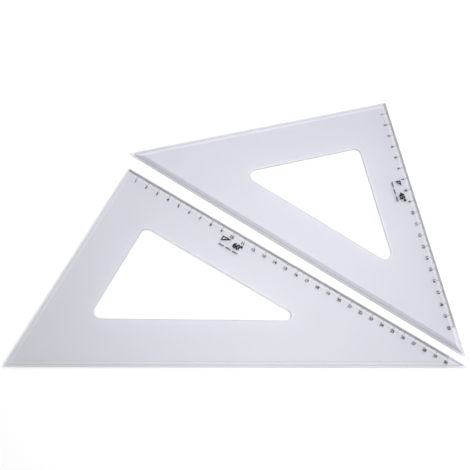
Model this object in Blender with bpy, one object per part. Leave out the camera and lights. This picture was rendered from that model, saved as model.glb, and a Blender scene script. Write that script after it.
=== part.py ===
"""A matched pair of clear drafting set squares, 30/60/90 and 45/45/90 degrees.

The pair is laid out as for drawing parallel lines: the 60-degree square lies still with its
scaled edge along +X, and the long edge of the 45-degree square lies beside that edge.
Every set square is drawn in its own flat frame first: the right-angle corner at the origin,
the scaled leg along +X, the other leg along -Y, and the drawing board at Z = 0.
All lengths are in metres.
"""

from math import cos, pi, radians, sin, sqrt

import bmesh
import bpy
from mathutils import Matrix, Vector

# Driving dimensions of the pair
LONG_EDGE = 0.3193            # long leg of the 60 square, and long edge of the 45 square
PAIR_GAP = 0.0111             # gap between the two squares at the zero end of the 60's scale
PAIR_OVERHANG = 0.0063        # how far the 45's long edge starts before the 60's corner
PAIR_TURN = radians(-0.89)    # the 45's long edge is not quite parallel to the 60's edge

# Section of a plate, from its outer edge inwards
PLATE_THICKNESS = 0.0025
EDGE_HEIGHT = 0.0014          # height of the upright outer edge
BEVEL_WIDTH = 0.0019          # the edge's top slopes up over this width
RIM_HEIGHT = 0.0019           # flat recessed rim that carries the scale
RIM_WIDTH = 0.0043
STEP_WIDTH = 0.0002           # the wall between the rim and the full thickness leans a little
CORNER_RADIUS = 0.0003
ARC_STEPS = 8                 # straight runs in each rounded corner

# The scale: a thin line of ink along the edge joins its marks
INK_GAP = 0.0003
INK_THICKNESS = 0.0002
BASE_LINE_INSET = 0.0003
BASE_LINE_WIDTH = 0.0002
MARK_WIDTH = 0.0002
MARK_SPACING = 0.005
HALF_CENTIMETRE_END = 0.0032  # how far in from the edge each kind of mark ends
CENTIMETRE_END = 0.0042

# The printed label: a small set-square pictogram with a bar below it
PICTOGRAM_DEPTH = 0.0089      # from the scaled edge to the pictogram's top
PICTOGRAM_HEIGHT = 0.0046
PICTOGRAM_LINE = 0.0009
BAR_DEPTH = 0.0159
BAR_HEIGHT = 0.0012
BAR_LENGTH = 0.0188

SQUARES = {
    "60": {
        "acute_angle": radians(30.0),     # at the far end of the scaled leg
        "scaled_leg": LONG_EDGE,
        "scale_centimetres": 30,
        "window_margins": (0.0355, 0.0352, 0.0368),   # upright leg, scaled leg, long edge
        "window_radii": (0.0058, 0.0044, 0.0058),     # right angle, far end, foot
        "label_start": 0.0930,
        "plastic": (0.80, 0.80, 0.86, 1.0),
    },
    "45": {
        "acute_angle": radians(45.0),
        "scaled_leg": LONG_EDGE / sqrt(2.0),
        "scale_centimetres": 20,
        "window_margins": (0.0351, 0.0350, 0.0352),
        "window_radii": (0.0053, 0.0057, 0.0053),
        "label_start": 0.0704,
        "plastic": (0.82, 0.82, 0.88, 1.0),
    },
}
INK_COLOUR = (0.02, 0.02, 0.025, 1.0)


def clear_scene():
    """Remove every object that the file starts with."""
    for item in list(bpy.data.objects):
        bpy.data.objects.remove(item, do_unlink=True)


def make_material(name, colour, roughness, alpha=1.0):
    """A plain Principled material; none of these parts is metal."""
    material = bpy.data.materials.new(name)
    material.use_nodes = True
    shader = material.node_tree.nodes["Principled BSDF"]
    shader.inputs["Base Color"].default_value = colour
    shader.inputs["Roughness"].default_value = roughness
    shader.inputs["Metallic"].default_value = 0.0
    shader.inputs["Alpha"].default_value = alpha
    return material


def make_object(name, mesh_builder, material, parent):
    """Turn a finished bmesh into a named object under its square's empty."""
    bmesh.ops.recalc_face_normals(mesh_builder, faces=mesh_builder.faces[:])
    mesh = bpy.data.meshes.new(name)
    mesh_builder.to_mesh(mesh)
    mesh_builder.free()
    mesh.materials.append(material)
    item = bpy.data.objects.new(name, mesh)
    bpy.context.scene.collection.objects.link(item)
    item.parent = parent
    return item


def triangle_corners(scaled_leg, acute_angle, margins=(0.0, 0.0, 0.0)):
    """Corners of the right triangle whose sides are moved inwards by the margins.

    The corners come in the order right angle, far end of the scaled leg, foot of the other
    leg. The margins are those of the upright leg, the scaled leg and the long edge.
    """
    upright, scaled, slanted = margins
    reach = scaled_leg * sin(acute_angle) - slanted
    far_x = (reach - scaled * cos(acute_angle)) / sin(acute_angle)
    foot_y = (reach - upright * sin(acute_angle)) / cos(acute_angle)
    return Vector((upright, -scaled)), Vector((far_x, -scaled)), Vector((upright, -foot_y))


def rounded_outline(corners, radii):
    """Points round a triangle whose corners are arcs of the given radii."""
    points = []
    for index, corner in enumerate(corners):
        to_last = (corners[index - 1] - corner).normalized()
        to_next = (corners[(index + 1) % 3] - corner).normalized()
        half_angle = to_last.angle(to_next) / 2.0
        radius = radii[index]
        centre = corner + (to_last + to_next).normalized() * (radius / sin(half_angle))
        start = corner + to_last * (radius / (sin(half_angle) / cos(half_angle))) - centre
        sweep = -(pi - 2.0 * half_angle)
        for step in range(ARC_STEPS + 1):
            turn = Matrix.Rotation(sweep * step / ARC_STEPS, 2)
            points.append(centre + turn @ start)
    return points


def build_plate(square):
    """Carry the plate's section round the triangle as a closed chain of outlines."""
    leg = square["scaled_leg"]
    angle = square["acute_angle"]
    section = (
        (0.0, 0.0),
        (0.0, EDGE_HEIGHT),
        (BEVEL_WIDTH, RIM_HEIGHT),
        (RIM_WIDTH, RIM_HEIGHT),
        (RIM_WIDTH + STEP_WIDTH, PLATE_THICKNESS),
    )
    rings = []
    for inset, height in section:
        corners = triangle_corners(leg, angle, (inset, inset, inset))
        rings.append((rounded_outline(corners, (CORNER_RADIUS,) * 3), height))
    window = rounded_outline(
        triangle_corners(leg, angle, square["window_margins"]), square["window_radii"])
    rings.append((window, PLATE_THICKNESS))
    rings.append((window, 0.0))

    builder = bmesh.new()
    chains = [[builder.verts.new((p.x, p.y, height)) for p in ring] for ring, height in rings]
    for lower, upper in zip(chains, chains[1:] + chains[:1]):
        for index in range(len(lower)):
            after = (index + 1) % len(lower)
            builder.faces.new((lower[index], lower[after], upper[after], upper[index]))
    return builder


def thicken(builder, bottom, thickness):
    """Raise a flat drawing of faces to its height and give it its thickness."""
    bmesh.ops.remove_doubles(builder, verts=builder.verts[:], dist=1e-6)
    bmesh.ops.translate(builder, verts=builder.verts[:], vec=(0.0, 0.0, bottom))
    raised = bmesh.ops.extrude_face_region(builder, geom=builder.faces[:])
    top = [item for item in raised["geom"] if isinstance(item, bmesh.types.BMVert)]
    bmesh.ops.translate(builder, verts=top, vec=(0.0, 0.0, thickness))


def add_rectangle(builder, left, right, near, far):
    """A flat face between two places along the edge, from one depth to a deeper one."""
    corners = ((left, -near), (right, -near), (right, -far), (left, -far))
    builder.faces.new([builder.verts.new((x, y, 0.0)) for x, y in corners])


def build_scale(square):
    """A mark at each half and whole centimetre, and the line that joins them, as one comb."""
    builder = bmesh.new()
    line_start = BASE_LINE_INSET
    line_end = BASE_LINE_INSET + BASE_LINE_WIDTH
    for number in range(1, 2 * square["scale_centimetres"] + 1):
        left = number * MARK_SPACING - MARK_WIDTH / 2.0
        right = number * MARK_SPACING + MARK_WIDTH / 2.0
        end = HALF_CENTIMETRE_END if number % 2 else CENTIMETRE_END
        if number > 1:
            add_rectangle(builder, right - MARK_SPACING, left, line_start, line_end)
        add_rectangle(builder, left, right, line_start, line_end)
        add_rectangle(builder, left, right, line_end, end)
    thicken(builder, RIM_HEIGHT + INK_GAP, INK_THICKNESS)
    return builder


def build_pictogram(square):
    """A small outline of the square itself, drawn with an even line."""
    angle = square["acute_angle"]
    leg = PICTOGRAM_HEIGHT / (sin(angle) / cos(angle))
    outer = triangle_corners(leg, angle)
    inner = triangle_corners(leg, angle, (PICTOGRAM_LINE,) * 3)
    shift = Vector((square["label_start"], -PICTOGRAM_DEPTH))
    builder = bmesh.new()
    loops = [[builder.verts.new((*(p + shift), 0.0)) for p in loop] for loop in (outer, inner)]
    for index in range(3):
        after = (index + 1) % 3
        corners = (loops[0][index], loops[0][after], loops[1][after], loops[1][index])
        builder.faces.new(corners)
    thicken(builder, PLATE_THICKNESS + INK_GAP, INK_THICKNESS)
    return builder


def build_bar(square):
    """The plain bar of ink under the pictogram."""
    builder = bmesh.new()
    start = square["label_start"]
    add_rectangle(builder, start, start + BAR_LENGTH, BAR_DEPTH, BAR_DEPTH + BAR_HEIGHT)
    thicken(builder, PLATE_THICKNESS + INK_GAP, INK_THICKNESS)
    return builder


def pair_layout():
    """Where each square's right-angle corner lies, and how far the square is turned.

    The middle of the pair's outline is the origin.
    """
    leg_45 = SQUARES["45"]["scaled_leg"]
    rise = radians(45.0) + PAIR_TURN
    corner_45 = Vector((-PAIR_OVERHANG, PAIR_GAP)) + leg_45 * Vector((cos(rise), sin(rise)))
    places = {
        "60": (Vector((0.0, 0.0)), 0.0),
        "45": (corner_45, PAIR_TURN - radians(45.0)),
    }
    points = []
    for name, (corner, turn) in places.items():
        square = SQUARES[name]
        corners = triangle_corners(square["scaled_leg"], square["acute_angle"])
        outline = rounded_outline(corners, (CORNER_RADIUS,) * 3)
        points += [corner + Matrix.Rotation(turn, 2) @ point for point in outline]
    across = [point.x for point in points]
    along = [point.y for point in points]
    middle = Vector((min(across) + max(across), min(along) + max(along))) / 2.0
    return {name: (corner - middle, turn) for name, (corner, turn) in places.items()}


def build_square(name, square, corner, turn, ink):
    """All four pieces of one set square, under an empty at its right-angle corner."""
    origin = bpy.data.objects.new("set_square_" + name, None)
    bpy.context.scene.collection.objects.link(origin)
    origin.location = (corner.x, corner.y, 0.0)
    origin.rotation_euler = (0.0, 0.0, turn)
    plastic = make_material("clear_plastic_" + name, square["plastic"], 0.25, 0.45)
    make_object("plate_" + name, build_plate(square), plastic, origin)
    make_object("scale_" + name, build_scale(square), ink, origin)
    make_object("pictogram_" + name, build_pictogram(square), ink, origin)
    make_object("underline_" + name, build_bar(square), ink, origin)


def main():
    """Build the two set squares."""
    clear_scene()
    ink = make_material("printed_ink", INK_COLOUR, 0.5)
    layout = pair_layout()
    for name, square in SQUARES.items():
        corner, turn = layout[name]
        build_square(name, square, corner, turn, ink)


main()
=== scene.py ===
# %% [markdown]
# # A pair of clear set squares
#
# Two flat mouldings of clear plastic, printed with a scale in dark ink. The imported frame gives
# their places and their outer sizes. This file makes the fine surface of each square, the ink
# on it, the finishes, and a plain studio to look at them in.
#
# Each square is drawn in a flat frame of its own, as a maker's drawing would be: the right-angle
# corner at the origin, the scaled leg along +X, the plate on the side of negative Y. One turn
# and one shift then lay it on the board.

# %% Load the frame
from math import cos, pi, radians, sin, sqrt, tan

import bmesh
import bpy
import numpy as np
from mathutils import Euler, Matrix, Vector


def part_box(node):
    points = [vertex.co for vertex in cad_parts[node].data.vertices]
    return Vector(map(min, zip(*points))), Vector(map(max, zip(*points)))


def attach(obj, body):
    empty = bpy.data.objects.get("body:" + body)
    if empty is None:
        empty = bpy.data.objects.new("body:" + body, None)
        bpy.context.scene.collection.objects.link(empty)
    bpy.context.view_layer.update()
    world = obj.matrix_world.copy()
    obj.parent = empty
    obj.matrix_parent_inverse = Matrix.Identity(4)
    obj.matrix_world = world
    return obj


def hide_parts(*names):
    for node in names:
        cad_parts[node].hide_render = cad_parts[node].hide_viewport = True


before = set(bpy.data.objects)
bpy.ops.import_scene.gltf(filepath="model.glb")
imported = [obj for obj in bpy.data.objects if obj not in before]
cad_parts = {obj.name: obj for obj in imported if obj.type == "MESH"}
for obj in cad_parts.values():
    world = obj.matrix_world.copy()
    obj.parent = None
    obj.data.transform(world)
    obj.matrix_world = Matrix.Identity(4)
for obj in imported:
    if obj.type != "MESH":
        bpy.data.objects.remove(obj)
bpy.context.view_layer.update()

# %% [markdown]
# ## Measures
#
# A set square needs few numbers: the length of its scaled leg and its acute angle give the
# outline, and one section, the same along all three edges, gives the rest. The numbers are
# those of the imported part, in metres. The window's margins are those of the upright leg, the
# scaled leg and the slanted edge, and its radii those of the right angle, the far end of the
# scaled leg and the foot of the upright leg.
#
# Light leaves each side of a clear moulding differently, and the finish paints part of that
# into the colour. So each square also has some values for its sides, in the order scaled leg,
# slanted edge, upright leg. The tones are shares from 0 to 1. They say how much painted shade, a
# grey, goes into the line just inside the edge (painted_line_shade_tones) and into the rim
# (painted_rim_shade_tones), and how much painted light, a pale tint, goes into the rim
# (painted_glow_tones), into the outermost strip with its wall (painted_wall_light_tones) and into
# the window's edge (painted_window_light_tones). The line ends at a distance from the edge
# (line_widths, in metres).

# %% Measures of the pair
LONG_EDGE = 0.3193
PAIR_GAP = 0.0111
PAIR_OVERHANG = 0.0063
PAIR_TURN = radians(-0.89)

THICKNESS = 0.0025
EDGE_HEIGHT = 0.0014
BEVEL_WIDTH = 0.0019
RIM_HEIGHT = 0.0019
RIM_WIDTH = 0.0043
STEP_WIDTH = 0.0002
CORNER_RADIUS = 0.0003

SQUARES = {
    "60": {
        "body": "set_square_60",
        "angle": radians(30.0),
        "leg": LONG_EDGE,
        "margins": (0.0355, 0.0352, 0.0368),
        "radii": (0.0058, 0.0044, 0.0058),
        "centimetres": 30,
        "label_start": 0.0930,
        # The five tones below are shares of painted colour: line and rim of painted shade, glow,
        # wall and window of painted light.
        "painted_line_shade_tones": (0.44, 0.17, 0.10),
        "painted_rim_shade_tones": (0.0, 0.0, 0.0),
        "painted_glow_tones": (1.0, 0.10, 0.30),
        "painted_wall_light_tones": (0.8, 0.9, 1.0),
        "painted_window_light_tones": (0.75, 0.0, 0.0),
        "line_widths": (0.0031, 0.0026, 0.0026),
    },
    "45": {
        "body": "set_square_45",
        "angle": radians(45.0),
        "leg": LONG_EDGE / sqrt(2.0),
        "margins": (0.0351, 0.0350, 0.0352),
        "radii": (0.0053, 0.0057, 0.0053),
        "centimetres": 20,
        "label_start": 0.0704,
        # The five tones below are shares of painted colour: line and rim of painted shade, glow,
        # wall and window of painted light.
        "painted_line_shade_tones": (0.24, 0.28, 0.26),
        "painted_rim_shade_tones": (0.0, 0.36, 0.0),
        "painted_glow_tones": (1.0, 0.0, 0.80),
        "painted_wall_light_tones": (0.9, 1.0, 0.9),
        "painted_window_light_tones": (0.95, 0.0, 0.75),
        "line_widths": (0.0022, 0.0026, 0.0026),
    },
}

# %% [markdown]
# ## Where each square lies
#
# The 60-degree square is not turned, so its box in the frame gives its right-angle corner at
# once: the lowest X and the highest Y. The other square follows from it. Its long edge starts
# a little before that corner, a gap away, and turned by less than a degree, and its right angle
# is one leg further, half a right angle up from the long edge.

# %% Places of the two squares
low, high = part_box("plate_60")
corner_60 = np.array((low.x, high.y))
rise = radians(45.0) + PAIR_TURN
corner_45 = corner_60 + (-PAIR_OVERHANG, PAIR_GAP)
corner_45 = corner_45 + SQUARES["45"]["leg"] * np.array((cos(rise), sin(rise)))
SQUARES["60"].update(corner=corner_60, turn=0.0)
SQUARES["45"].update(corner=corner_45, turn=PAIR_TURN - radians(45.0))


def lay_down(square, points):
    """Turn points (..., 3) of a square's own frame by its turn and shift them to its corner."""
    c, s = cos(square["turn"]), sin(square["turn"])
    x = square["corner"][0] + c * points[..., 0] - s * points[..., 1]
    y = square["corner"][1] + s * points[..., 0] + c * points[..., 1]
    return np.stack((x, y, points[..., 2]), axis=-1)


print("right-angle corners:", corner_60.round(4), corner_45.round(4))

# %% [markdown]
# ## Camera
#
# The camera looks steeply down on the board from the side of the 60-degree square's long
# slanted edge, and it is rolled, so that this slanted edge lies level in the picture. A long
# lens keeps the two triangles nearly undistorted. Its place is worked out from an azimuth, an
# elevation and a distance, because those three are easy to imagine and to change.

# %% Camera
CAMERA_TARGET = Vector((-0.0552, 0.0045, 0.0018))
CAMERA_DISTANCE = 0.7289
CAMERA_AZIMUTH = radians(-1.37)
CAMERA_ELEVATION = radians(73.12)
CAMERA_ROLL = radians(31.65)
CAMERA_LENS_MM = 69.09

camera = bpy.data.objects.new("camera", bpy.data.cameras.new("camera"))
bpy.context.scene.collection.objects.link(camera)
bpy.context.scene.camera = camera
camera.data.lens = CAMERA_LENS_MM
towards_camera = Vector((
    sin(CAMERA_AZIMUTH) * cos(CAMERA_ELEVATION),
    -cos(CAMERA_AZIMUTH) * cos(CAMERA_ELEVATION),
    sin(CAMERA_ELEVATION),
))
camera.location = CAMERA_TARGET + towards_camera * CAMERA_DISTANCE
level = (-towards_camera).to_track_quat("-Z", "Y")
camera.rotation_euler = (level @ Euler((0.0, 0.0, CAMERA_ROLL)).to_quaternion()).to_euler()
print("camera at", tuple(round(value, 3) for value in camera.location))

# %% [markdown]
# ## Studio
#
# Clear plastic has hardly a colour of its own: what shows is the paper under it and the room
# around it. So the light does most of the work here. One broad soft lamp hangs above the pair, a
# little behind its middle, near enough for its light to fade towards the far corners, and a room
# that is brightest at the horizon fills in. The exposure is high: bare paper burns out to white,
# and what the plastic takes away brings it back to a pale tone. The floor is plain white paper,
# a hair's breadth below the squares, so that the two surfaces don't share a plane.

# %% Studio
FLOOR_DROP = 0.0004
FLOOR_SIZE = 40.0
PAPER_WHITE = (0.95, 0.95, 0.95, 1.0)
HORIZON_BAND = 0.35
OVERHEAD = 0.62
LAMP_PLACE = (0.03, 0.12, 0.55)
LAMP_SIZE = 1.1
LAMP_POWER = 9.2


def build_floor():
    """A square sheet of plain pale paper."""
    mesh = bpy.data.meshes.new("floor")
    half = FLOOR_SIZE / 2.0
    corners = [(-half, -half), (half, -half), (half, half), (-half, half)]
    mesh.from_pydata([(x, y, -FLOOR_DROP) for x, y in corners], [], [(0, 1, 2, 3)])
    floor = bpy.data.objects.new("floor", mesh)
    bpy.context.scene.collection.objects.link(floor)
    paper = bpy.data.materials.new("paper")
    paper.use_nodes = True
    shader = paper.node_tree.nodes["Principled BSDF"]
    shader.inputs["Base Color"].default_value = PAPER_WHITE
    shader.inputs["Roughness"].default_value = 1.0
    shader.inputs["Specular IOR Level"].default_value = 0.0
    mesh.materials.append(paper)
    return floor


def build_room():
    """A world that is white up to the horizon and dimmer overhead."""
    world = bpy.data.worlds.new("room")
    world.use_nodes = True
    nodes, links = world.node_tree.nodes, world.node_tree.links
    background = nodes["Background"]
    place = nodes.new("ShaderNodeTexCoord")
    split = nodes.new("ShaderNodeSeparateXYZ")
    ramp = nodes.new("ShaderNodeValToRGB")
    links.new(place.outputs["Generated"], split.inputs[0])
    links.new(split.outputs["Z"], ramp.inputs["Fac"])
    links.new(ramp.outputs["Color"], background.inputs["Color"])
    ramp.color_ramp.elements[0].position = 0.0
    ramp.color_ramp.elements[0].color = (1.0, 1.0, 1.0, 1.0)
    ramp.color_ramp.elements[1].position = HORIZON_BAND
    ramp.color_ramp.elements[1].color = (OVERHEAD, OVERHEAD, OVERHEAD, 1.0)
    bpy.context.scene.world = world


def build_lamp():
    """A round soft box that faces straight down, brightest in its middle and dark at its rim."""
    lamp = bpy.data.objects.new("soft_lamp", bpy.data.lights.new("soft_lamp", "AREA"))
    bpy.context.scene.collection.objects.link(lamp)
    lamp.location = LAMP_PLACE
    lamp.data.shape = "DISK"
    lamp.data.size = LAMP_SIZE
    lamp.data.energy = LAMP_POWER
    lamp.data.use_nodes = True
    nodes, links = lamp.data.node_tree.nodes, lamp.data.node_tree.links
    place = nodes.new("ShaderNodeNewGeometry")
    reach = nodes.new("ShaderNodeVectorMath")
    reach.operation = "DISTANCE"
    reach.inputs[1].default_value = (0.5, 0.5, 0.0)
    fade = nodes.new("ShaderNodeMapRange")
    fade.interpolation_type = "SMOOTHSTEP"
    fade.inputs["From Min"].default_value = 0.0
    fade.inputs["From Max"].default_value = 0.5
    fade.inputs["To Min"].default_value = 1.0
    fade.inputs["To Max"].default_value = 0.0
    links.new(place.outputs["Parametric"], reach.inputs[0])
    links.new(reach.outputs["Value"], fade.inputs["Value"])
    links.new(fade.outputs["Result"], nodes["Emission"].inputs["Strength"])


build_floor()
build_room()
build_lamp()
bpy.context.scene.view_settings.view_transform = "Standard"

# %% [markdown]
# ## A helper for finishes
#
# Node trees are easiest to read as formulas. A small class wraps a node's output, so that
# `1 - mask` or `fine * 0.2 + coarse` adds the Math nodes that it needs. A second class adds any
# other node: its kind, then its settings, then the values or links of its inputs.

# %% Finishes as formulas


class Value:
    """An output of a node that can be used in sums."""

    def __init__(self, finish, socket):
        self.finish = finish
        self.socket = socket

    def _math(self, operation, first, second):
        settings = {"operation": operation}
        return self.finish.add("ShaderNodeMath", settings, {0: first, 1: second})

    def __add__(self, other):
        return self._math("ADD", self, other)

    def __radd__(self, other):
        return self._math("ADD", other, self)

    def __sub__(self, other):
        return self._math("SUBTRACT", self, other)

    def __rsub__(self, other):
        return self._math("SUBTRACT", other, self)

    def __mul__(self, other):
        return self._math("MULTIPLY", self, other)

    def __rmul__(self, other):
        return self._math("MULTIPLY", other, self)


class Finish:
    """A material's node tree, with one method that adds any node."""

    def __init__(self, name):
        self.material = bpy.data.materials.new(name)
        self.material.use_nodes = True
        self.tree = self.material.node_tree
        self.shader = self.tree.nodes["Principled BSDF"]

    def add(self, kind, settings=None, inputs=None, output=0):
        """Add a node, make its settings, then fill its inputs with values or links."""
        node = self.tree.nodes.new(kind)
        for name, setting in (settings or {}).items():
            setattr(node, name, setting)
        self.fill(node, inputs or {})
        return Value(self, node.outputs[output])

    def fill(self, node, inputs):
        """Link or set the inputs of a node."""
        for name, value in inputs.items():
            if isinstance(value, Value):
                self.tree.links.new(value.socket, node.inputs[name])
            else:
                node.inputs[name].default_value = value

    def parts(self, attribute):
        """The three numbers that the mesh carries under an attribute's name."""
        vector = self.add("ShaderNodeAttribute", {"attribute_name": attribute}, {}, 1)
        first = self.add("ShaderNodeSeparateXYZ", {}, {0: vector})
        return [Value(self, socket) for socket in first.socket.node.outputs]

    def noise(self, place, scale, detail=2.0, roughness=0.5):
        """A soft noise from 0 to 1 at a place, with scale in waves per metre."""
        inputs = {"Vector": place, "Scale": scale, "Detail": detail, "Roughness": roughness}
        return self.add("ShaderNodeTexNoise", {}, inputs)

    def step(self, value, start, end):
        """A smooth rise from 0 at start to 1 at end."""
        settings = {"interpolation_type": "SMOOTHSTEP"}
        inputs = {"Value": value, "From Min": start, "From Max": end}
        return self.add("ShaderNodeMapRange", settings, inputs)

    def mix(self, share, first, second):
        """A blend of two colours."""
        settings = {"data_type": "RGBA"}
        return self.add("ShaderNodeMix", settings, {"Factor": share, 6: first, 7: second}, 2)


print("helpers are ready")

# %% [markdown]
# ## Clear plastic
#
# The squares are moulded from a clear plastic with a faint lavender cast. It is smooth but not
# new: handling leaves fine scratches and dull patches. A clear moulding leads light along its
# inside and lets it out at its borders, which shows as a grey line just inside each edge, a
# paler strip outside that line and a pale edge round the window. Such paths are hard to trace,
# so part of the effect is painted into the colour: painted shade in the grey line and rim,
# painted light in the paler rim, the outermost strip with its wall and the window's edge. The
# mesh holds the distance to each border and the tones of each side as attributes, and the
# colour follows them, which keeps each line at a true width from every side. The upright walls
# are satin, because a polished wall mirrors the inside of the plate and reads as a hard dark line.

# %% Clear plastic
PLASTIC_IOR = 1.49
BODY_TINTS = {
    "60": ((0.854, 0.855, 0.907, 1.0), (0.870, 0.865, 0.915, 1.0)),
    "45": ((0.858, 0.862, 0.914, 1.0), (0.871, 0.871, 0.920, 1.0)),
}
# Painted light: a pale tint laid on the rim, on the outermost strip with its wall and on the
# window's edge.
PAINTED_LIGHT_TINT = (0.97, 0.96, 1.0, 1.0)
# Painted shade: a grey laid on the line just inside each edge and on the rim.
PAINTED_SHADE_GREY = (0.42, 0.41, 0.46, 1.0)

# Bands of painted shade and painted light along the borders, each as the distances where it
# starts and ends
LINE_RISE = (0.0006, 0.0013)
LINE_FADE_SHARE = 0.55        # the line starts to fade at this share of its width
RIM_FADE = (RIM_WIDTH - 0.0008, RIM_WIDTH + 0.0008)
WINDOW_FADE = (0.0003, 0.0018)
WALL_FADE = (0.00001, 0.00012)

# Roughness of the polished faces, and what each flaw or wall adds to it
POLISHED = 0.05
RUBBED_MORE = 0.05
SCRATCHES_MORE = 0.12
OUTER_WALL_MORE = 0.55
WINDOW_WALL_MORE = 0.85


def border_tints(finish, colour, outer, window):
    """The body's colour with painted light and shade mixed in along its borders, from rim to wall.

    A band's mask runs from 0 to 1, and its tone says how much of the painted light, a pale tint,
    or of the painted shade, a grey, goes in. The line's mask is its rise at the edge less its rise
    at its far side.
    """
    line_shade_tone, rim_shade_tone, glow_light_tone = finish.parts("tones")
    wall_light_tone, window_light_tone, line_width = finish.parts("walls")
    line_start = finish.step(outer, *LINE_RISE)
    line = line_start - finish.step(outer, line_width * LINE_FADE_SHARE, line_width)
    rim = 1.0 - finish.step(outer, *RIM_FADE)
    window_edge = 1.0 - finish.step(window, *WINDOW_FADE)
    # Painted light: the pale tint on the rim.
    colour = finish.mix(rim * glow_light_tone, colour, PAINTED_LIGHT_TINT)
    # Painted shade: the grey on the rim and on the line just inside the edge.
    colour = finish.mix(rim * rim_shade_tone, colour, PAINTED_SHADE_GREY)
    colour = finish.mix(line * line_shade_tone, colour, PAINTED_SHADE_GREY)
    # Painted light: the pale tint on the window's edge and on the outermost strip with its wall.
    colour = finish.mix(window_edge * window_light_tone, colour, PAINTED_LIGHT_TINT)
    return finish.mix((1.0 - line_start) * wall_light_tone, colour, PAINTED_LIGHT_TINT)


def make_plastic(name, body, shade):
    """Clear plastic: two close body tints, painted light and shade at the borders, and fine wear."""
    finish = Finish("plastic_" + name)
    place = finish.add("ShaderNodeTexCoord", output=3)
    outer, window, _ = finish.parts("borders")
    # A slow noise blends the body's two close tints, so the body is a little lighter in some places
    # than in others.
    slow_tint_noise = finish.noise(place, 9.0, 1.0)
    # The borders get painted shade and painted light over the body's tints.
    colour = border_tints(finish, finish.mix(slow_tint_noise, body, shade), outer, window)

    rubbed = finish.step(finish.noise(place, 35.0, 3.0, 0.6), 0.45, 0.75)
    stretched = finish.add(
        "ShaderNodeMapping", {}, {"Vector": place, "Rotation": (0.0, 0.0, 0.6),
                                  "Scale": (40.0, 1600.0, 40.0)})
    scratches = finish.step(finish.noise(stretched, 1.0, 2.0), 0.66, 0.72)
    outer_wall = 1.0 - finish.step(outer, *WALL_FADE)
    window_wall = 1.0 - finish.step(window, *WALL_FADE)
    worn = POLISHED + rubbed * RUBBED_MORE + scratches * SCRATCHES_MORE
    roughness = worn + outer_wall * OUTER_WALL_MORE + window_wall * WINDOW_WALL_MORE
    waves = finish.noise(place, 22.0, 1.0)
    bump = finish.add(
        "ShaderNodeBump", {}, {"Strength": 0.12, "Distance": 0.0004, "Height": waves})

    shader = finish.shader
    shader.inputs["IOR"].default_value = PLASTIC_IOR
    shader.inputs["Transmission Weight"].default_value = 1.0
    finish.fill(shader, {"Base Color": colour, "Roughness": roughness, "Normal": bump})
    return finish.material


PLASTIC = {name: make_plastic(name, *tints) for name, tints in BODY_TINTS.items()}
print("plastic finishes:", sorted(PLASTIC))

# %% [markdown]
# ## Printed ink
#
# The scale is screen-printed. Such ink is matt and nearly black, a little thin in places, where
# the mesh of the screen let less through.

# %% Printed ink
INK_BLACK = (0.004, 0.004, 0.006, 1.0)
INK_THIN = (0.05, 0.05, 0.06, 1.0)


def make_ink():
    """Matt near-black ink with fine, slightly paler specks."""
    finish = Finish("printed_ink")
    place = finish.add("ShaderNodeTexCoord", output=3)
    specks = finish.step(finish.noise(place, 2600.0, 3.0, 0.6), 0.55, 0.85)
    colour = finish.mix(specks, INK_BLACK, INK_THIN)
    grain = finish.noise(place, 5000.0, 2.0)
    bump = finish.add(
        "ShaderNodeBump", {}, {"Strength": 0.3, "Distance": 0.00001, "Height": grain})
    finish.shader.inputs["Specular IOR Level"].default_value = 0.12
    finish.fill(
        finish.shader, {"Base Color": colour, "Roughness": 0.55 + specks * 0.2, "Normal": bump})
    return finish.material


INK = make_ink()
print("ink finish:", INK.name)

# %% [markdown]
# ## The outline
#
# Moving the three sides of a triangle inwards gives a smaller triangle of the same shape, so one
# function serves for the outer edge, the rim and the window. Each corner is an arc that touches
# both of its sides. Every outline has the same number of points in the same order, which lets
# the next step stretch a surface from any outline to any other.

# %% Outlines
ARC_STEPS = 10
SIDE_STEPS = 24


def triangle_corners(square, margins):
    """The triangle whose sides are moved inwards by the margins.

    The long edge keeps the distance reach = leg * sin(angle) - margin from the right-angle
    corner, and a corner is where two such lines cross.
    """
    upright, scaled, slanted = margins
    angle = square["angle"]
    reach = square["leg"] * sin(angle) - slanted
    far = (reach - scaled * cos(angle)) / sin(angle)
    foot = (reach - upright * sin(angle)) / cos(angle)
    return np.array(((upright, -scaled), (far, -scaled), (upright, -foot)))


def rounded_outline(square, margins, radii):
    """Points round the triangle: for each corner an arc, then the straight side after it.

    An arc's centre lies radius / sin(half the corner's angle) from the corner, on the line
    that halves it, and the arc sweeps through half a turn less the corner's angle.
    """
    corners = triangle_corners(square, margins)
    arcs = []
    for corner, before, after, radius in zip(
            corners, np.roll(corners, 1, 0), np.roll(corners, -1, 0), radii):
        back = (before - corner) / np.linalg.norm(before - corner)
        ahead = (after - corner) / np.linalg.norm(after - corner)
        half = np.arccos(back @ ahead) / 2.0
        middle = (back + ahead) / np.linalg.norm(back + ahead)
        centre = corner + middle * radius / sin(half)
        start = corner + back * radius / tan(half) - centre
        sweep = -(pi - 2.0 * half) * np.linspace(0.0, 1.0, ARC_STEPS + 1)
        x = start[0] * np.cos(sweep) - start[1] * np.sin(sweep)
        y = start[0] * np.sin(sweep) + start[1] * np.cos(sweep)
        arcs.append(centre + np.stack((x, y), axis=-1))
    share = np.linspace(0.0, 1.0, SIDE_STEPS + 1)[1:-1, None]
    parts = []
    for arc, following in zip(arcs, arcs[1:] + arcs[:1]):
        parts += [arc, arc[-1] * (1.0 - share) + following[0] * share]
    return np.concatenate(parts)


def side_values(values):
    """One value for each point of an outline, from a value for each side.

    The sides are the scaled leg, the slanted edge and the upright leg. The middle of each arc
    is the mitre: half of the arc's points belong to the side before it.
    """
    half = ARC_STEPS // 2
    block = ARC_STEPS + SIDE_STEPS
    return np.roll(np.repeat(values, block), half + 1)


print("points in an outline:", len(rounded_outline(SQUARES["60"], (0, 0, 0), (0.001,) * 3)))

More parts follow.
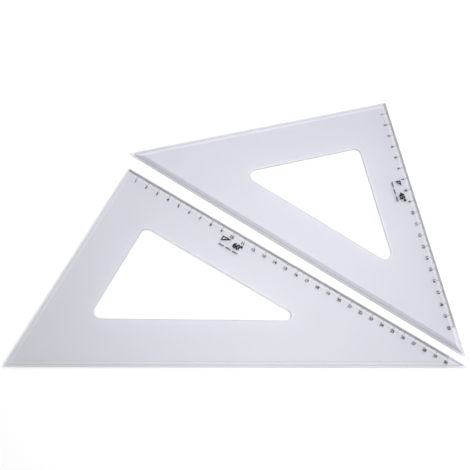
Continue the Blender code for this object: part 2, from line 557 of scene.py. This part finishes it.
# %% [markdown]
# ## The section
#
# Cut across its edge, a plate shows an upright wall, a shallow bevel, a flat recessed rim that
# carries the scale, a small step and then the full thickness. A mould has no knife-sharp edges:
# each bend of the section is a small arc, and it is those arcs that catch the light. A point
# just outside every arc keeps the flat parts flat when the surface is shaded smooth.

# %% Sections
BEND_STEPS = 4
BEND_GUARD = 0.00004
SECTION_RUN = 0.001           # how far a section reaches into the flat part at each of its ends
OUTER_BEND_RADII = (0.00012, 0.00015, 0.0008, 0.0001, 0.0001)
WINDOW_BEND_RADII = (0.0006, 0.00015)


def bend(points, radii):
    """A line through points, each bend turned into an arc that touches both of its sides.

    The arc is the curve (1-t)^2 A + 2t(1-t) B + t^2 C, where B is the bend, and A and C lie on
    its sides, radius * tan(half the turn) away.
    """
    points = np.array(points, float)
    bent = [points[:1]]
    t = np.linspace(0.0, 1.0, BEND_STEPS + 1)[:, None]
    for before, corner, after, radius in zip(points, points[1:], points[2:], radii):
        back = (before - corner) / np.linalg.norm(before - corner)
        ahead = (after - corner) / np.linalg.norm(after - corner)
        turn = pi - np.arccos(np.clip(back @ ahead, -1.0, 1.0))
        reach = radius * tan(turn / 2.0)
        start, end = corner + back * reach, corner + ahead * reach
        arc = (1 - t) ** 2 * start + 2 * t * (1 - t) * corner + t ** 2 * end
        bent += [[start + back * BEND_GUARD], arc, [end + ahead * BEND_GUARD]]
    return np.concatenate(bent + [points[-1:]])


OUTER_SECTION = bend((
    (SECTION_RUN, 0.0),
    (0.0, 0.0),
    (0.0, EDGE_HEIGHT),
    (BEVEL_WIDTH, RIM_HEIGHT),
    (RIM_WIDTH, RIM_HEIGHT),
    (RIM_WIDTH + STEP_WIDTH, THICKNESS),
    (RIM_WIDTH + SECTION_RUN, THICKNESS),
), OUTER_BEND_RADII)
WINDOW_SECTION = bend((
    (SECTION_RUN, THICKNESS),
    (0.0, THICKNESS),
    (0.0, 0.0),
    (SECTION_RUN, 0.0),
), WINDOW_BEND_RADII)
print("points in the sections:", len(OUTER_SECTION), len(WINDOW_SECTION))

# %% [markdown]
# ## The plates
#
# A plate is a ring: its section closes on itself, up the outer edge, across the top, down the
# window's wall and back underneath. The surface is therefore a grid that closes in both
# directions. Between the rim and the window the grid is a ruled surface, a straight blend of
# the two outlines, and a few rows are enough there because it is flat.

# %% Plates
FLAT_ROWS = 7
SMOOTH_ANGLE = radians(32.0)  # a sharper bend than this stays a crease
SIDE_ATTRIBUTES = {
    # Per-side shares of painted shade and painted light, and the line's width.
    "tones": ("painted_line_shade_tones", "painted_rim_shade_tones", "painted_glow_tones"),
    "walls": ("painted_wall_light_tones", "painted_window_light_tones", "line_widths"),
}


def mesh_object(name, points, faces, material, smooth_angle=None):
    """A new object from an array of points and, for each face, the list of its corners."""
    mesh = bpy.data.meshes.new(name)
    mesh.from_pydata(points.reshape(-1, 3).tolist(), [], faces)
    mesh.materials.append(material)
    if smooth_angle is not None:
        mesh.shade_smooth()
        mesh.set_sharp_from_angle(angle=smooth_angle)
    item = bpy.data.objects.new(name, mesh)
    bpy.context.scene.collection.objects.link(item)
    return item


def plate_grid(square):
    """Rows of points round the plate, with each row's distances to the two borders.

    Row k is (1 - w) * outer outline(inset) + w * window outline(gap), at its own height.
    """
    margins = np.array(square["margins"])
    radii = np.array(square["radii"])
    rows, borders = [], []
    flat = np.linspace(0.0, 1.0, FLAT_ROWS + 2)[1:-1]
    last_outer, first_window = OUTER_SECTION[-1], WINDOW_SECTION[0]
    last_window, first_outer = WINDOW_SECTION[-1], OUTER_SECTION[0]

    def outer_row(inset):
        return rounded_outline(square, (inset,) * 3, (CORNER_RADIUS,) * 3)

    def window_row(gap):
        return rounded_outline(square, margins - gap, radii + gap)

    def add_row(outline, height, inset, gap):
        rows.append(np.column_stack((outline, np.full(len(outline), height))))
        borders.append((inset, gap))

    for inset, height in OUTER_SECTION:
        add_row(outer_row(inset), height, inset, margins.min())
    for share in flat:
        outline = (1 - share) * outer_row(last_outer[0]) + share * window_row(first_window[0])
        width = margins.min() - last_outer[0]
        add_row(outline, THICKNESS, last_outer[0] + share * width, (1 - share) * width)
    for gap, height in WINDOW_SECTION:
        add_row(window_row(gap), height, margins.min(), gap)
    for share in flat:
        outline = (1 - share) * window_row(last_window[0]) + share * outer_row(first_outer[0])
        width = margins.min() - first_outer[0]
        add_row(outline, 0.0, first_outer[0] + (1 - share) * width, share * width)
    return np.array(rows), np.array(borders)


def closed_grid_faces(rows, columns):
    """Faces of a grid whose last row meets the first and whose last column meets the first."""
    index = np.arange(rows * columns).reshape(rows, columns)
    right = np.roll(index, -1, axis=1)
    above = np.roll(index, -1, axis=0)
    corner = np.roll(right, -1, axis=0)
    return np.stack((index, above, corner, right), axis=-1).reshape(-1, 4).tolist()


def build_plate(name, square):
    """The fine surface of one plate, with what its finish reads as attributes.

    "borders" holds the distances to the outer edge and to the window, the same all along a row.
    "tones" and "walls" hold the values of the sides, the same all along a column: shares of
    painted shade and painted light, and the line's width.
    """
    points, borders = plate_grid(square)
    rows, columns = points.shape[:2]
    faces = closed_grid_faces(rows, columns)
    plate = mesh_object(
        "clear_plate_" + name, lay_down(square, points), faces, PLASTIC[name], SMOOTH_ANGLE)
    distances = np.column_stack((borders, np.zeros(rows)))
    attributes = {"borders": np.repeat(distances, columns, axis=0)}
    for label, keys in SIDE_ATTRIBUTES.items():
        along = np.column_stack([side_values(square[key]) for key in keys])
        attributes[label] = np.tile(along, (rows, 1))
    for label, values in attributes.items():
        attribute = plate.data.attributes.new(label, "FLOAT_VECTOR", "POINT")
        attribute.data.foreach_set("vector", values.astype(np.float32).ravel())
    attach(plate, square["body"])
    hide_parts("plate_" + name)
    return plate


for name, square in SQUARES.items():
    plate = build_plate(name, square)
    print(plate.name, len(plate.data.polygons), "faces")

# %% [markdown]
# ## The scale
#
# Every mark is a thin film of ink that runs from the edge up the bevel and over the rim. It is
# a narrow box carried along that line. The boxes of one scale are worked out together: an array
# with one entry for each mark, each station along the mark, and each corner of the box.

# %% Scale marks
INK_RISE = 0.00002
INK_SINK = 0.00001
MARK_START = 0.00015
MILLIMETRE = 0.001
MARK_WIDTH = 0.00027
CENTIMETRE_MARK_END = 0.0042
HALF_MARK_END = 0.0032
MILLIMETRE_MARK_END = 0.0023
BEVEL_STATION = 0.35          # share of a mark where it has a station on the bevel
FOLD_GUARD = 0.00005          # stations this far before and after the bevel's top


def rim_height(inset):
    """Height of the plate's top at a distance from its edge: the bevel's slope, then the rim."""
    slope = (RIM_HEIGHT - EDGE_HEIGHT) / BEVEL_WIDTH
    return np.minimum(EDGE_HEIGHT + slope * inset, RIM_HEIGHT)


def box_faces(count, stations):
    """Faces of `count` boxes, each a ring of four corners carried along its stations."""
    ring = np.arange(4)
    after = np.roll(ring, -1)
    sides = np.stack((ring, after, after + 4, ring + 4), axis=-1)
    sides = (sides[None] + 4 * np.arange(stations - 1)[:, None, None]).reshape(-1, 4)
    ends = np.array(((3, 2, 1, 0), (0, 1, 2, 3)))
    ends[1] += 4 * (stations - 1)
    one = np.concatenate((sides, ends))[:, ::-1]
    boxes = one[None] + 4 * stations * np.arange(count)[:, None, None]
    return boxes.reshape(-1, 4).tolist()


def build_marks(name, square):
    """All marks of one scale as one mesh; longer marks at each half and whole centimetre.

    A mark's stations lie at its start, on the bevel, just before and after the bevel's top,
    and at its end. Each station has four corners, half a width to each side.
    """
    number = np.arange(1, 10 * square["centimetres"] + 1)
    whole, half = number % 10 == 0, number % 10 == 5
    end = np.select((whole, half), (CENTIMETRE_MARK_END, HALF_MARK_END), MILLIMETRE_MARK_END)
    inset = np.empty((len(number), 5))
    inset[:, 0] = MARK_START
    inset[:, 1] = MARK_START + (end - MARK_START) * BEVEL_STATION
    inset[:, 2] = BEVEL_WIDTH - FOLD_GUARD
    inset[:, 3] = BEVEL_WIDTH + FOLD_GUARD
    inset[:, 4] = end
    height = rim_height(inset)
    side = np.array((-0.5, -0.5, 0.5, 0.5))
    lift = np.array((-INK_SINK, INK_RISE, INK_RISE, -INK_SINK))
    x = number[:, None, None] * MILLIMETRE + MARK_WIDTH * side + 0.0 * inset[..., None]
    y = -inset[..., None] + 0.0 * side
    z = height[..., None] + lift
    points = lay_down(square, np.stack((x, y, z), axis=-1))
    marks = mesh_object(
        "scale_marks_" + name, points, box_faces(len(number), inset.shape[1]), INK)
    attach(marks, square["body"])
    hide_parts("scale_" + name)
    return marks


for name, square in SQUARES.items():
    marks = build_marks(name, square)
    print(marks.name, len(marks.data.polygons), "faces")

# %% [markdown]
# ## Numerals
#
# Numerals are type, so Blender's own text is the right start: a text curve is given a little
# depth, turned into a mesh, and its doubles are merged so that it is closed. Each numeral is
# then scaled to its height and stamped beside its mark. One mesh holds all the numerals of a
# scale.

# %% Numerals
CENTIMETRE = 0.01
NUMERAL_DEPTH = 0.0066
NUMERAL_HEIGHT = 0.0026
NUMERAL_WEIGHT = 0.035


def read_array(items, attribute, kind, width=1):
    """One attribute of all vertices, loops or faces of a mesh, as an array."""
    values = np.empty(len(items) * width, kind)
    items.foreach_get(attribute, values)
    return values


def type_mesh(text, weight):
    """A line of type as points and faces, one unit high, centred on its middle."""
    curve = bpy.data.curves.new("type", "FONT")
    curve.body = text
    curve.offset = weight
    curve.extrude = 0.5
    curve.resolution_u = 3
    item = bpy.data.objects.new("type", curve)
    bpy.context.scene.collection.objects.link(item)
    bpy.context.view_layer.update()
    depsgraph = bpy.context.evaluated_depsgraph_get()
    mesh = bpy.data.meshes.new_from_object(item.evaluated_get(depsgraph))
    builder = bmesh.new()
    builder.from_mesh(mesh)
    bmesh.ops.remove_doubles(builder, verts=builder.verts[:], dist=1e-5)
    bmesh.ops.recalc_face_normals(builder, faces=builder.faces[:])
    builder.to_mesh(mesh)
    builder.free()
    points = read_array(mesh.vertices, "co", np.float32, 3).astype(float).reshape(-1, 3)
    corners = read_array(mesh.loops, "vertex_index", np.int32)
    faces = np.split(corners, read_array(mesh.polygons, "loop_start", np.int32)[1:])
    bpy.data.objects.remove(item)
    bpy.data.curves.remove(curve)
    bpy.data.meshes.remove(mesh)
    low, high = points.min(0), points.max(0)
    size = high[1] - low[1]
    points[:, :2] = (points[:, :2] - (low + high)[:2] / 2.0) / size
    return points, faces


def stamp(square, pieces, name):
    """Join pieces of type, each (points, faces, height, x, depth), into one film of ink."""
    all_points, all_faces, count = [], [], 0
    for points, faces, height, x, depth in pieces:
        placed = np.empty_like(points)
        placed[:, 0] = x + points[:, 0] * height
        placed[:, 1] = -depth + points[:, 1] * height
        placed[:, 2] = THICKNESS + np.where(points[:, 2] > 0.0, INK_RISE, -INK_SINK)
        all_points.append(placed)
        all_faces += [(face + count).tolist() for face in faces]
        count += len(points)
    item = mesh_object(name, lay_down(square, np.concatenate(all_points)), all_faces, INK)
    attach(item, square["body"])
    return item


for name, square in SQUARES.items():
    pieces = []
    for number in range(1, square["centimetres"] + 1):
        points, faces = type_mesh(str(number), NUMERAL_WEIGHT)
        pieces.append((points, faces, NUMERAL_HEIGHT, number * CENTIMETRE, NUMERAL_DEPTH))
    numerals = stamp(square, pieces, "numerals_" + name)
    print(numerals.name, len(numerals.data.polygons), "faces")

# %% [markdown]
# ## The label
#
# Where a maker would print a name, these squares carry a generic label: a pictogram of the
# square itself, its angle in bold numerals, and a row of short strokes below.

# %% Labels
PICTOGRAM_DEPTH = 0.0089
PICTOGRAM_HEIGHT = 0.0046
PICTOGRAM_LINE = 0.0009
ANGLE_HEIGHT = 0.0050
ANGLE_WEIGHT = 0.055
BAR_DEPTH = 0.0159
BAR_HEIGHT = 0.0012
BAR_LENGTH = 0.0188
STROKE_SPACING = 0.0008
STROKE_WIDTH = 0.00058
STROKES_IN_GROUP = 6
GROUP_GAP = 2


def build_pictogram(name, square):
    """A small outline of the square, drawn with an even line: two triangles and the band between."""
    small = {"angle": square["angle"], "leg": PICTOGRAM_HEIGHT / tan(square["angle"])}
    outer = triangle_corners(small, (0.0,) * 3)
    inner = triangle_corners(small, (PICTOGRAM_LINE,) * 3)
    shift = np.array((square["label_start"], -PICTOGRAM_DEPTH))
    loops = np.stack((outer, outer, inner, inner)) + shift
    heights = THICKNESS + np.array((-INK_SINK, INK_RISE, INK_RISE, -INK_SINK))
    points = np.concatenate((loops, np.broadcast_to(heights[:, None, None], (4, 3, 1))), axis=-1)
    pictogram = mesh_object(
        "label_pictogram_" + name, lay_down(square, points), closed_grid_faces(4, 3), INK)
    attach(pictogram, square["body"])
    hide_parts("pictogram_" + name)
    return pictogram


def build_strokes(name, square):
    """A row of short upright strokes in groups, like a tally, each stroke a flat box."""
    number = np.arange(round(BAR_LENGTH / STROKE_SPACING))
    number = number[number % (STROKES_IN_GROUP + GROUP_GAP) < STROKES_IN_GROUP]
    start = square["label_start"] + number * STROKE_SPACING
    x = start[:, None, None] + np.array((0.0, 0.0, 1.0, 1.0)) * STROKE_WIDTH
    x = np.broadcast_to(x, (len(start), 2, 4))
    y = np.broadcast_to(-np.array((BAR_DEPTH, BAR_DEPTH + BAR_HEIGHT))[None, :, None], x.shape)
    lift = THICKNESS + np.array((-INK_SINK, INK_RISE, INK_RISE, -INK_SINK))
    z = np.broadcast_to(lift, x.shape)
    points = lay_down(square, np.stack((x, y, z), axis=-1))
    strokes = mesh_object("label_strokes_" + name, points, box_faces(len(start), 2), INK)
    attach(strokes, square["body"])
    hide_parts("underline_" + name)
    return strokes


for name, square in SQUARES.items():
    build_pictogram(name, square)
    build_strokes(name, square)
    points, faces = type_mesh(name + "°", ANGLE_WEIGHT)
    half_width = points[:, 0].max() * ANGLE_HEIGHT
    x = square["label_start"] + BAR_LENGTH - half_width
    depth = PICTOGRAM_DEPTH + PICTOGRAM_HEIGHT / 2.0
    angle = stamp(square, [(points, faces, ANGLE_HEIGHT, x, depth)], "label_angle_" + name)
    print(angle.name, len(angle.data.polygons), "faces")
